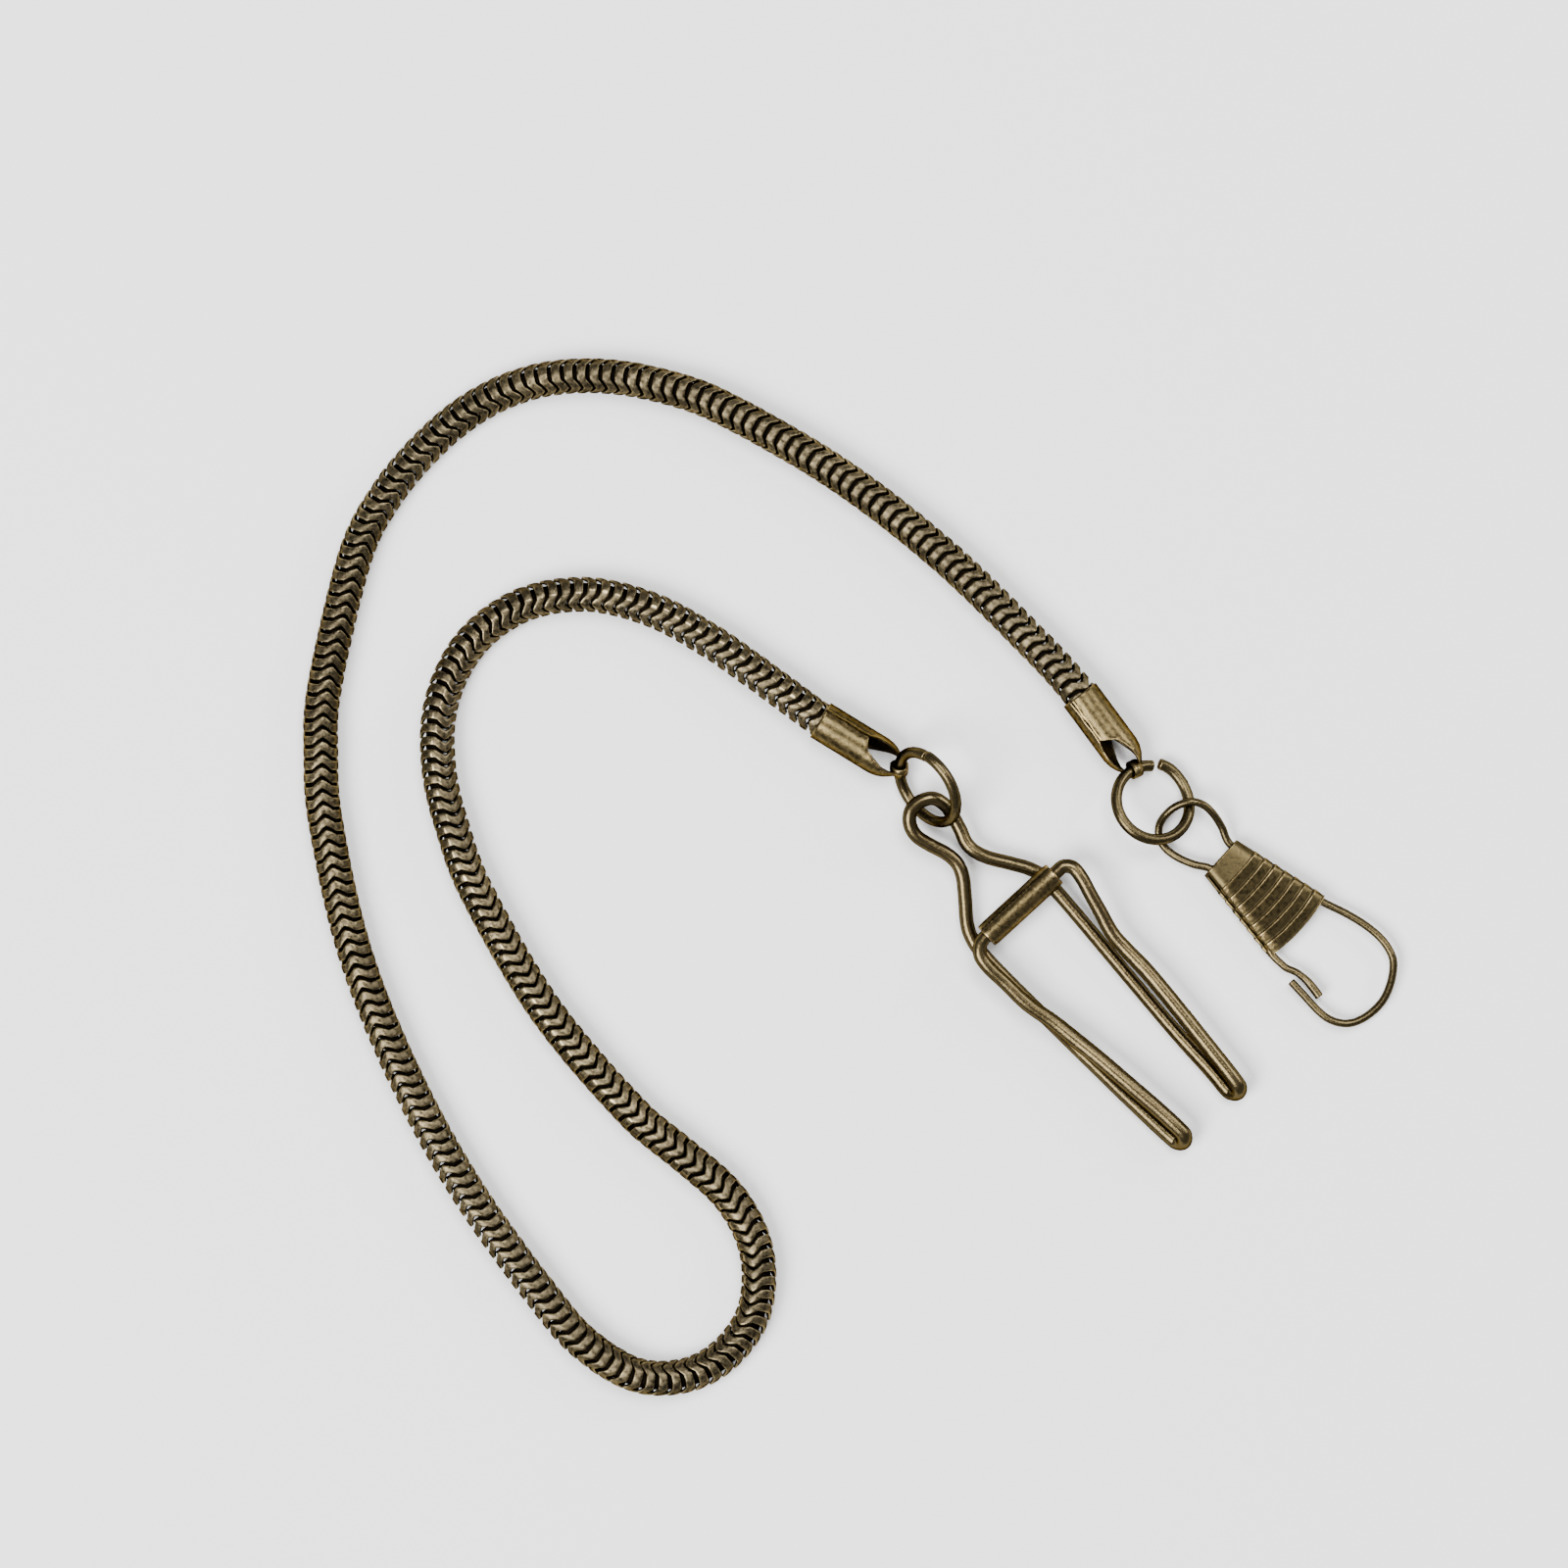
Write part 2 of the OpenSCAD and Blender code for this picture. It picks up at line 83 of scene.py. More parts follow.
def smooth_curve(points, steps):
    """A Catmull-Rom curve through points, straight on at both ends."""
    p = [np.array(q, float) for q in points]
    p = [2 * p[0] - p[1]] + p + [2 * p[-1] - p[-2]]
    out = []
    for i in range(1, len(p) - 2):
        a, b, c, d = p[i - 1:i + 3]
        for j in range(steps):
            t = j / steps
            out.append(0.5 * (2 * b + (c - a) * t + (2 * a - 5 * b + 4 * c - d) * t * t
                              + (3 * b - a - 3 * c + d) * t ** 3))
    out.append(p[-2])
    return np.array(out)


def lengths(path):
    return np.concatenate([[0], np.cumsum(np.linalg.norm(np.diff(path, axis=0), axis=1))])


def tangents(path):
    t = np.gradient(path, axis=0)
    return t / np.linalg.norm(t, axis=1)[:, None]


def carried_sides(ways, start=(0.31, 0.2, 0.17)):
    """A side direction for each way, carried along without twisting."""
    side = np.array(start, float)
    out = []
    for w in ways:
        side = unit(side - side.dot(w) * w)
        out.append(side)
    return np.array(out)


def new_object(name, verts, faces, material, uvs=None, wear_and_painted_light=None):
    """A smooth mesh object from points in mm, with an optional UV and a value of rubbed wear and painted
    light for each point.
    """
    mesh = bpy.data.meshes.new(name)
    mesh.from_pydata((np.asarray(verts) * MM).tolist(), [], faces)
    mesh.validate()
    mesh.polygons.foreach_set("use_smooth", [True] * len(mesh.polygons))
    corner_verts = np.empty(len(mesh.loops), int)
    mesh.loops.foreach_get("vertex_index", corner_verts)
    if uvs is not None:
        layer = mesh.uv_layers.new(name="along")
        layer.data.foreach_set("uv", np.asarray(uvs)[corner_verts].ravel())
    values = np.zeros(len(verts)) if wear_and_painted_light is None else np.asarray(wear_and_painted_light, float)
    attribute = mesh.attributes.new("wear_and_painted_light", "FLOAT", "POINT")
    attribute.data.foreach_set("value", values)
    mesh.materials.append(material)
    obj = bpy.data.objects.new(name, mesh)
    bpy.context.scene.collection.objects.link(obj)
    return obj


def ring_faces(rows, around, closed=True, first=0):
    """Quads between rows of points, each a loop or an open strip of the same number of points."""
    faces = []
    for i in range(rows - 1):
        for a in range(around if closed else around - 1):
            b = (a + 1) % around
            faces.append([first + i * around + a, first + i * around + b,
                          first + (i + 1) * around + b, first + (i + 1) * around + a])
    return faces


def closing_faces(rows, around, closed=True, first=0):
    """Quads that join the last row of points back to the first one."""
    last = first + (rows - 1) * around
    return [[last + a, last + (a + 1) % around, first + (a + 1) % around, first + a]
            for a in range(around if closed else around - 1)]


def turned(v, angle):
    """A point, or rows of points, turned about the upright axis by an angle in degrees."""
    c, s = math.cos(math.radians(angle)), math.sin(math.radians(angle))
    return np.stack([v[..., 0] * c - v[..., 1] * s, v[..., 0] * s + v[..., 1] * c, v[..., 2]], -1)


# ---------- materials ----------

# Tint of the metal's reflection at grazing angles, so that silhouettes stay dark.
GRAZING_TINT = (0.20, 0.175, 0.135, 1)


def antique_metal(name, dark, mid, bright, roughness, grain, along=False, seed=0.0, mottle=1.0):
    """Aged brass: brown patina; golden lightening from each point's value, which is rubbed wear on edges
    and crests and, on the links and the barrel, also painted highlights and painted shade; speckle, fine
    scratches.

    grain is the scale of the speckle, along runs the scratches along a wire, and mottle is the contrast.
    """
    mat = bpy.data.materials.new(name)
    mat.use_nodes = True
    nt = mat.node_tree
    nt.nodes.clear()
    n, link = nt.nodes.new, nt.links.new

    def maths(operation, a, b, clamp=False):
        x = n("ShaderNodeMath")
        x.operation = operation
        x.use_clamp = clamp
        for socket, value in zip(x.inputs, (a, b)):
            if isinstance(value, (int, float)):
                socket.default_value = value
            else:
                link(value, socket)
        return x.outputs[0]

    def mix(factor, a, b):
        x = n("ShaderNodeMix")
        x.data_type = "RGBA"
        for socket, value in ((x.inputs["Factor"], factor), (x.inputs[6], a), (x.inputs[7], b)):
            if isinstance(value, (int, float)):
                socket.default_value = value
            elif isinstance(value, tuple):
                socket.default_value = (*value, 1)
            else:
                link(value, socket)
        return x.outputs[2]

    coords = n("ShaderNodeTexCoord")
    place = n("ShaderNodeMapping")
    place.inputs["Location"].default_value = (seed, seed * 0.7, seed * 0.3)
    link(coords.outputs["Object"], place.inputs["Vector"])

    def noise(scale, detail, rough, vector=place.outputs[0]):
        x = n("ShaderNodeTexNoise")
        x.inputs["Scale"].default_value = scale
        x.inputs["Detail"].default_value = detail
        x.inputs["Roughness"].default_value = rough
        link(vector, x.inputs["Vector"])
        return x.outputs["Fac"]

    patches = noise(260, 3.0, 0.55)
    speckle = noise(grain, 2.0, 0.65)
    pits = noise(9000, 2.0, 0.5)
    if along:
        stretch = n("ShaderNodeMapping")
        stretch.inputs["Scale"].default_value = (0.12, 1.0, 1.0)
        uv = n("ShaderNodeUVMap")
        uv.uv_map = "along"
        link(uv.outputs[0], stretch.inputs["Vector"])
        scratch = noise(7000, 2.0, 0.6, stretch.outputs[0])
    else:
        scratch = noise(5200, 3.0, 0.7)
    # The point attribute holds rubbed wear, and on the links and the barrel also painted highlights and
    # painted shade.
    wear_and_painted_light = n("ShaderNodeAttribute")
    wear_and_painted_light.attribute_name = "wear_and_painted_light"
    patchy = maths("MULTIPLY", maths("SUBTRACT", patches, 0.5), 1.1 * mottle)
    speckled = maths("MULTIPLY", maths("SUBTRACT", speckle, 0.5), 1.3 * mottle)
    worn_and_painted_light = maths("ADD", maths("ADD", wear_and_painted_light.outputs["Fac"], patchy), speckled, clamp=True)
    darkness = maths("MULTIPLY", maths("SUBTRACT", 0.52, speckle), 3.0 * mottle, clamp=True)
    base = mix(darkness, mid, dark)
    base = mix(maths("MULTIPLY", worn_and_painted_light, 0.9), base, bright)
    scratched = maths("MULTIPLY", maths("SUBTRACT", scratch, 0.62), 3.5 * mottle, clamp=True)
    base = mix(scratched, base, bright)
    uneven = maths("MULTIPLY", maths("SUBTRACT", speckle, 0.5), 0.45 * mottle)
    rough = maths("ADD", roughness, uneven)
    rough = maths("SUBTRACT", rough, maths("MULTIPLY", worn_and_painted_light, 0.12), clamp=True)
    bump = n("ShaderNodeBump")
    bump.inputs["Strength"].default_value = 0.55
    bump.inputs["Distance"].default_value = 0.00004
    height = maths("ADD", maths("MULTIPLY", speckle, 0.7), maths("MULTIPLY", scratch, 0.5))
    height = maths("ADD", height, maths("MULTIPLY", pits, 0.25))
    link(height, bump.inputs["Height"])
    bsdf = n("ShaderNodeBsdfPrincipled")
    bsdf.inputs["Metallic"].default_value = 1.0
    bsdf.inputs["Specular Tint"].default_value = GRAZING_TINT
    link(base, bsdf.inputs["Base Color"])
    link(rough, bsdf.inputs["Roughness"])
    link(bump.outputs[0], bsdf.inputs["Normal"])
    out = n("ShaderNodeOutputMaterial")
    link(bsdf.outputs[0], out.inputs["Surface"])
    return mat


LINK_METAL = antique_metal(
    "link_metal", (0.010, 0.008, 0.005), (0.076, 0.061, 0.035), (0.28, 0.222, 0.12), 0.38, 3200)
# Painted shade: the web and collar inside the links are near black, standing for the deep shade in the
# gaps between links.
CORE_METAL_PAINTED_SHADE = antique_metal(
    "core_metal_painted_shade", (0.003, 0.002, 0.002), (0.007, 0.005, 0.003), (0.02, 0.015, 0.008), 0.65, 3000)
WIRE_METAL = antique_metal(
    "wire_metal", (0.032, 0.025, 0.012), (0.058, 0.045, 0.022), (0.175, 0.130, 0.060), 0.28, 4200,
    along=True, mottle=0.4)
SHEET_METAL = antique_metal(
    "sheet_metal", (0.022, 0.017, 0.008), (0.064, 0.049, 0.022), (0.27, 0.197, 0.086), 0.32, 2900,
    seed=0.3, mottle=0.7)


# ---------- snake chain ----------

route = smooth_curve([(x, y, 0) for x, y in ROUTE], 12)
route_s = lengths(route)
route_len = route_s[-1]
# Height of the chain's middle: it lies on the floor, and rises to the caps at both ends.
RISE = ([0, 3, 14, route_len - 14, route_len - 3, route_len],
        [CAP_R, CAP_R, CHAIN_R, CHAIN_R, CAP_R, CAP_R])


def route_at(s):
    return np.array([np.interp(s, route_s, route[:, 0]), np.interp(s, route_s, route[:, 1]),
                     np.interp(s, *RISE)])


def link_frame(i):
    """Place of link i, its forward, up and left directions, and its roll in degrees."""
    s = i * PITCH
    here = route_at(s)
    way = unit(route_at(s + PITCH) - here)
    left = unit(np.cross([0, 0, 1.0], way))
    return here, way, np.cross(way, left), left, np.interp(s, *zip(*ROLL))


# Length of a link's band, height of its three points, and half the angle that each point spans.
BAND = 0.8
WAVE = 0.6
FLANK = 34.0
AROUND = 96
# Section of the band: share of its length, radius, and value of rubbed wear and painted light: the rims
# are lightened as rubbed wear and painted edge highlights, and the walls turning into the gaps are
# darkened as painted shade.
SECTION = [(0.02, 1.30, -0.4), (0.0, 1.38, -0.3), (0.0, 1.49, 0.2), (0.035, 1.548, 0.95),
           (0.10, 1.578, 0.3), (0.26, 1.597, 0.12), (0.5, 1.6, 0.12), (0.72, 1.598, 0.16),
           (0.88, 1.586, 0.4), (0.955, 1.556, 1.0), (1.0, 1.49, 0.6), (1.0, 1.38, -0.3),
           (0.98, 1.30, -0.4), (0.5, 1.28, -0.4)]
# Section of the web and the collar inside a link: radius, distance along the link.
CORE = [(0.86, 0.62), (1.33, 0.62), (1.33, 0.76), (1.08, 0.80), (1.03, 0.95), (1.03, 1.45),
        (0.98, 1.5), (0.86, 1.5)]


def wave(angle):
    """Share of the wave's height at an angle from the nearest point, for angles in degrees."""
    off = np.abs((np.asarray(angle) + 60) % 120 - 60)
    t = np.clip(1 - off / FLANK, 0, 1)
    return t * (1 + 0.1 * np.sin(np.pi * t))


def link_mesh(jitter):
    """One link along +Z with its first point towards +X.

    jitter holds the phases of its length and its two dents, and the angle of its rubbed seam.
    """
    angles = np.arange(AROUND) * 360 / AROUND
    w = WAVE * wave(angles)
    rear_dip = 0.05 * np.cos(np.radians(3 * angles)) * (1 - wave(angles))
    rows, wear_and_painted_light_values = [], []
    for share, r, rub_and_painted_light in SECTION:
        length = BAND * (1 + 0.03 * np.sin(np.radians(angles * 3 + jitter[0])))
        s = w + rear_dip + share * length
        dent = (0.012 * np.sin(np.radians(angles * 5 + jitter[1]))
                + 0.008 * np.sin(np.radians(angles * 11 + jitter[2])))
        radius = np.minimum(r + dent * (r > 1.45), CHAIN_R)
        a = np.radians(angles)
        rows.append(np.stack([radius * np.cos(a), radius * np.sin(a), s], 1))
        crest = 0.15 * (wave(angles) > 0.55)
        seam = 1.2 * (np.abs((angles - jitter[3] + 180) % 360 - 180) < 2.2) * (0.1 < share < 0.9)
        # Painted edge highlights and painted shade in the gaps come with the section's value, added to
        # the rubbed crests and seam.
        wear_and_painted_light_values.append(np.clip(rub_and_painted_light + crest * (r > 1.5) + seam, 0, 1.4) - 0.15)
    verts = np.concatenate(rows)
    faces = ring_faces(len(SECTION), AROUND) + closing_faces(len(SECTION), AROUND)
    return verts, faces, np.concatenate(wear_and_painted_light_values)


def core_mesh(around=32):
    """The web and the collar inside a link."""
    a = np.arange(around) * 2 * np.pi / around
    verts = np.concatenate([np.stack([r * np.cos(a), r * np.sin(a), np.full(around, s)], 1)
                            for r, s in CORE])
    return verts, ring_faces(len(CORE), around) + closing_faces(len(CORE), around)


def placed(verts, i):
    """Points of a link along +Z, put in place as link i of the chain."""
    here, way, up, left, roll = link_frame(i)
    a = math.radians(roll)
    first = math.cos(a) * up + math.sin(a) * left
    second = np.cross(way, first)
    return here + verts[:, :1] * first + verts[:, 1:2] * second + verts[:, 2:] * way


def build_chain():
    core_verts, core_faces = core_mesh()
    for k in range(1, SEGMENTS + 1):
        verts, faces, wear_and_painted_light_values, inner_verts, inner_faces = [], [], [], [], []
        for i in range((k - 1) * LINKS_PER_SEGMENT, k * LINKS_PER_SEGMENT):
            jitter = [rng.uniform(0, 360) for _ in range(3)] + [rng.uniform(-12, 12) + 38]
            v, f, w = link_mesh(jitter)
            first = sum(len(x) for x in verts)
            verts.append(placed(v, i))
            faces += [[first + c for c in q] for q in f]
            wear_and_painted_light_values.append(w)
            first = sum(len(x) for x in inner_verts)
            inner_verts.append(placed(core_verts, i))
            inner_faces += [[first + c for c in q] for q in core_faces]
        body = f"chain_{k:02d}"
        links = new_object(f"links_{k:02d}", np.concatenate(verts), faces, LINK_METAL,
                           wear_and_painted_light=np.concatenate(wear_and_painted_light_values))
        core = new_object(f"link_cores_{k:02d}", np.concatenate(inner_verts), inner_faces, CORE_METAL_PAINTED_SHADE)
        for piece in (links, core):
            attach(piece, body)
        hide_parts(f"chain_segment_{k:02d}")


# ---------- wires ----------

CUT_END_WEAR = 0.8


def wire_rings(path, radius, around, ways=None):
    """Rows of points round a wire along a path; radius is one number or one for each point."""
    path = np.asarray(path, float)
    ways = tangents(path) if ways is None else ways
    side = carried_sides(ways)
    across = np.cross(ways, side)
    r = np.broadcast_to(np.asarray(radius, float), (len(path),))
    a = np.arange(around) * 2 * np.pi / around
    s = lengths(path)
    ring = path[:, None] + r[:, None, None] * (np.cos(a)[None, :, None] * side[:, None]
                                               + np.sin(a)[None, :, None] * across[:, None])
    round_the_wire = (a / (2 * np.pi))[None] * 2 * math.pi * np.mean(r) * MM
    uv = np.stack(np.broadcast_arrays(s[:, None] * MM, round_the_wire), 2)
    return ring, uv


def tube_object(name, path, radius, around, wear_and_painted_light, bevel=0.06):
    """A round wire with slightly broken, rubbed edges at its cut ends."""
    path = np.asarray(path, float)
    r = np.broadcast_to(np.asarray(radius, float), (len(path),)).copy()
    t = tangents(path)
    path = np.vstack([path[0] + t[0] * 1e-3, path[0] + t[0] * bevel, path[1:]])
    r = np.concatenate([[r[0] - bevel], r])
    t = np.vstack([t[0], t])
    path = np.vstack([path[:-1], path[-1] - t[-1] * bevel, path[-1] - t[-1] * 1e-3])
    r = np.concatenate([r, [r[-1] - bevel]])
    t = np.vstack([t, t[-1]])
    ring, uv = wire_rings(path, r, around, t)
    verts = ring.reshape(-1, 3)
    faces = ring_faces(len(path), around)
    faces.append(list(range(around))[::-1])
    faces.append([(len(path) - 1) * around + a for a in range(around)])
    wear_and_painted_light_values = np.full(len(verts), wear_and_painted_light)
    wear_and_painted_light_values[:2 * around] = CUT_END_WEAR
    wear_and_painted_light_values[-2 * around:] = CUT_END_WEAR
    return new_object(name, verts, faces, WIRE_METAL, uv.reshape(-1, 2), wear_and_painted_light_values)


CLIP_WIRE_R = 0.64
CLIP_TIP_R = 0.74
# How far from the tips the thick wire reaches, and the length over which it thins out.
THICK_FRONT, THIN_OUT_FRONT = 24, 8
THICK_BACK, THIN_OUT_BACK = 9, 7
TIP_L, TIP_R = np.array([30.2, -23.85, 1.49]), np.array([35.15, -19.35, 1.49])
TIP_OUT = unit(np.array([0.684, -0.729, 0]))
LEAN_ANGLE = math.radians(35)
LEAN = (math.cos(LEAN_ANGLE) * np.array([0, 0, 1.0])
        + math.sin(LEAN_ANGLE) * unit(np.array([0.729, 0.684, 0])))
HAIRPIN_R = 0.9
BACK = [(27.3, -21.8, 0.7), (24.2, -18.9, 0.67), (21.3, -16.1, 0.7), (14.8, -9.7, 0.95),
        (12.1, -6.9, 1.05), (11.1, -5.5, 1.12), (10.6, -4, 1.2), (10.4, -1.5, 1.35), (10.2, 0.2, 1.5),
        (9.7, 1.4, 1.65), (8.7, 2.3, 1.85), (7.2, 3.1, 2.1), (6, 3.9, 2.35), (5.4, 5, 2.6),
        (5.5, 6.2, 2.8), (6.3, 7, 2.85), (7.5, 7.3, 2.8), (8.6, 6.7, 2.5), (9.3, 5.7, 2.15),
        (10, 4.4, 1.95), (10.5, 3.3, 1.9),
        (11.3, 2.5, 1.85), (12.6, 1.9, 1.7), (14.6, 1.4, 1.5), (16.3, 0.9, 1.35), (17.5, 0.2, 1.22),
        (18.7, -1.1, 1.15), (20.6, -3.3, 1.05), (28.6, -12.8, 0.7), (32.7, -17.3, 0.7)]
FRONT_L = [(28.1, -21.1, 2.32), (25.1, -18.5, 2.4), (22.4, -16.2, 2.35),
           (20.3, -14.5, 2.3), (18.3, -12.9, 2.35), (16, -11.3, 2.6), (14, -9.4, 2.85),
           (12.6, -8.1, 3.05),
           (11.8, -7, 3.15), (11.75, -6, 3.2)]
FRONT_R = [(33.4, -16.4, 2.32), (29.4, -11.4, 2.4), (26.9, -8.4, 2.35),
           (24.9, -6.3, 2.35), (23.7, -4.9, 2.5), (22.6, -2.9, 2.8), (21.7, -1.3, 3.05), (21, 0, 3.15),
           (20.2, 1, 3.2), (19.3, 1.15, 3.2)]
SLEEVE_L, SLEEVE_R = np.array([12.3, -5.2, 3.2]), np.array([18.5, 0.5, 3.2])
BAR = unit(SLEEVE_R - SLEEVE_L)
BAR_MID = (SLEEVE_L + SLEEVE_R) / 2


def hairpin(tip, a):
    """A point on the hairpin bend at a tip, at an angle in degrees from the tip to the front wire."""
    a = math.radians(a)
    return tip - HAIRPIN_R * (1 - math.cos(a)) * TIP_OUT + HAIRPIN_R * math.sin(a) * LEAN


def build_clip():
    """One bent wire, in three pieces that meet where the legs turn up at the tips."""
    around = 32
    left = [BAR_MID - 0.05 * BAR, SLEEVE_L + 0.5 * BAR, SLEEVE_L - 0.3 * BAR] + FRONT_L[::-1]
    left += [hairpin(TIP_L, a) for a in (90, 45, 0, -45, -90)]
    right = [hairpin(TIP_R, a) for a in (-90, -45, 0, 45, 90)] + FRONT_R
    right += [SLEEVE_R + 0.3 * BAR, SLEEVE_R - 0.5 * BAR, BAR_MID + 0.05 * BAR]
    steps = 10
    whole = smooth_curve(left + BACK + right, steps)
    first, last = (len(left) - 1) * steps, (len(left) + len(BACK)) * steps
    s = lengths(whole)
    tips = s[first], s[last]
    inward = np.where(s < tips[0], tips[0] - s, np.where(s > tips[1], s - tips[1], 0))
    behind = np.minimum(np.abs(s - tips[0]), np.abs(s - tips[1]))
    thick = np.where(inward > 0, np.clip((THICK_FRONT - inward) / THIN_OUT_FRONT, 0, 1),
                     np.clip((THICK_BACK - behind) / THIN_OUT_BACK, 0, 1))
    radii = CLIP_WIRE_R + (CLIP_TIP_R - CLIP_WIRE_R) * thick
    ring, uv = wire_rings(whole, radii, around)
    for name, a, b, cap in (("clip_wire_front_left", 0, first, 0), ("clip_wire_back", first, last, None),
                            ("clip_wire_front_right", last, len(whole) - 1, 1)):
        part, part_uv = ring[a:b + 1], uv[a:b + 1]
        verts = part.reshape(-1, 3)
        faces = ring_faces(len(part), around)
        if cap == 0:
            faces.append(list(range(around))[::-1])
        if cap == 1:
            faces.append([(len(part) - 1) * around + i for i in range(around)])
        # Each wire's upper half is lighter, more so towards its top.
        top = (part[:, :, 2] - part[:, :, 2].mean(1)[:, None]) / CLIP_WIRE_R
        rub_and_painted_light = np.clip(top, 0, 1) * 0.3 + 0.05
        obj = new_object(name, verts, faces, WIRE_METAL, part_uv.reshape(-1, 2), rub_and_painted_light.ravel())
        if name == "clip_wire_back":
            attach(obj, "clip")
            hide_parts("clip_back_wire")
        else:
            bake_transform(obj)
            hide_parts("clip_front_wire_left" if cap == 0 else "clip_front_wire_right")


def build_sleeve():
    """A tube rolled from sheet, with an open seam on its upper side and its ends a little crimped."""
    rows, around = 60, 56
    half, outer, inner = 4.2, 1.2, 0.79
    up = np.array([0, 0, 1.0])
    side = np.cross(up, BAR)
    xs = np.linspace(-half, half, rows)
    seam = math.radians(40)
    gap = math.radians(3)
    a = seam + np.linspace(gap, 2 * math.pi - gap, around)
    from_seam = np.minimum(a - seam, 2 * math.pi - (a - seam))
    seam_edge = 0.12
    verts, wear_and_painted_light_values = [], []

    def row(x, r, rub_and_painted_light):
        ends = 1 - 0.05 * math.exp(-((half - abs(x)) / 0.35) ** 2)
        lip = 0.03 * np.exp(-(from_seam / seam_edge) ** 2)
        rr = r * ends - lip * (r > 1)
        verts.append(BAR_MID + x * BAR
                     + rr[:, None] * (np.cos(a)[:, None] * up + np.sin(a)[:, None] * side))
        wear_and_painted_light_values.append(np.clip(rub_and_painted_light + 0.15 * (from_seam < seam_edge), 0, 1.2))

    row(-half, inner, 0.1)
    row(-half, outer - 0.06, 0.9)
    for x in xs:
        row(np.clip(x, -half + 0.05, half - 0.05), outer, 0.2 + 0.7 * (abs(x) > half - 0.25))
    row(half, outer - 0.06, 0.9)
    row(half, inner, 0.1)
    for x in xs[::-3]:
        row(x, inner, 0.0)
    count = len(verts)
    verts = np.concatenate(verts)
    faces = ring_faces(count, around, closed=False) + closing_faces(count, around, closed=False)
    for end in (0, around - 1):
        for k in range((count - 4) // 2):
            i, j = 2 + k, count - 1 - k // 3
            if j - 1 > rows + 3 and k % 3 == 0:
                quad = [rank * around + end for rank in (i, i + 3, j - 1, j)]
                faces.append(quad if end else quad[::-1])
    obj = new_object("clip_sleeve_sheet", verts, faces, SHEET_METAL, wear_and_painted_light=np.concatenate(wear_and_painted_light_values))
    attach(obj, "clip_sleeve")
    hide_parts("clip_sleeve")


# ---------- jump rings ----------

CLIP_CAP, CLIP_CAP_TURN, CLIP_EYE_Z = np.array([-2.7, 14.4, CAP_R]), -31.5, -0.02
HOOK_CAP, HOOK_CAP_TURN, HOOK_EYE_Z = np.array([20.8, 16.7, CAP_R]), -53.5, 0.0
# A ring's turn and tilt in degrees, its radius, and the angle on it where its cap's eye sits.
CLIP_RING = (-57, 57, 3.55, -142)
HOOK_RING = (-44, -26, 3.5, 160)
RING_WIRE_R = 0.515


def ring_point(turn, tilt, r, a, lift=0.0):
    """A point on a tilted ring at an angle in degrees, lifted off its plane, from the ring's middle."""
    a, t = math.radians(a), math.radians(tilt)
    flat = np.array([r * math.cos(a), r * math.sin(a) * math.cos(t) - lift * math.sin(t),
                     r * math.sin(a) * math.sin(t) + lift * math.cos(t)])
    return turned(flat, turn)


def ring_way(turn, tilt, a):
    """The direction of a ring's wire at an angle in degrees."""
    a, t = math.radians(a), math.radians(tilt)
    return turned(np.array([-math.sin(a), math.cos(a) * math.cos(t), math.cos(a) * math.sin(t)]), turn)


def build_ring(name, body, node, spec, eye, gap_a, gap, sprung):
    """A ring with a cut at gap_a, gap degrees wide.

    sprung says how far its two cut ends stand out, first and last, and how far they are lifted.
    """
    turn, tilt, r, eye_a = spec
    centre = eye - ring_point(turn, tilt, r, eye_a)
    out_first, out_last, lift_first, lift_last = sprung
    steps = 120
    path = []
    for k in range(steps + 1):
        share = k / steps
        a = gap_a + gap / 2 + share * (360 - gap)
        near = math.exp(-(share * 9) ** 2)
        far = math.exp(-((1 - share) * 9) ** 2)
        path.append(centre + ring_point(turn, tilt, r + out_first * near + out_last * far, a,
                                        lift_first * near + lift_last * far))
    obj = tube_object(name, np.array(path), RING_WIRE_R, 30, wear_and_painted_light=0.15)
    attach(obj, body)
    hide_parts(node)


# ---------- end caps ----------

# Shape of a cap's sheet, by distance from its mouth: its radius, and the angles from straight up at
# which the broad strap and the narrow strap start and at which both end.
CAP_RADIUS = ([0, 6.2, 6.9, 7.5, 8.0, 8.4], [1.82, 1.82, 1.70, 1.45, 1.12, 0.80])
BROAD_TOP = ([0, 4.5, 4.75, 5.1, 5.9, 6.6, 7.4, 8.0, 8.4], [-35, -35, -16, 3, 18, 27, 34, 42, 48])
NARROW_TOP = ([0, 4.5, 4.8, 5.5, 6.5, 7.4, 8.0, 8.4], [38, 38, 42, 50, 53, 56, 60, 64])
STRAP_END = ([0, 4.8, 5.2, 6.2, 7.0, 7.7, 8.4], [180, 180, 175, 163, 151, 138, 124])


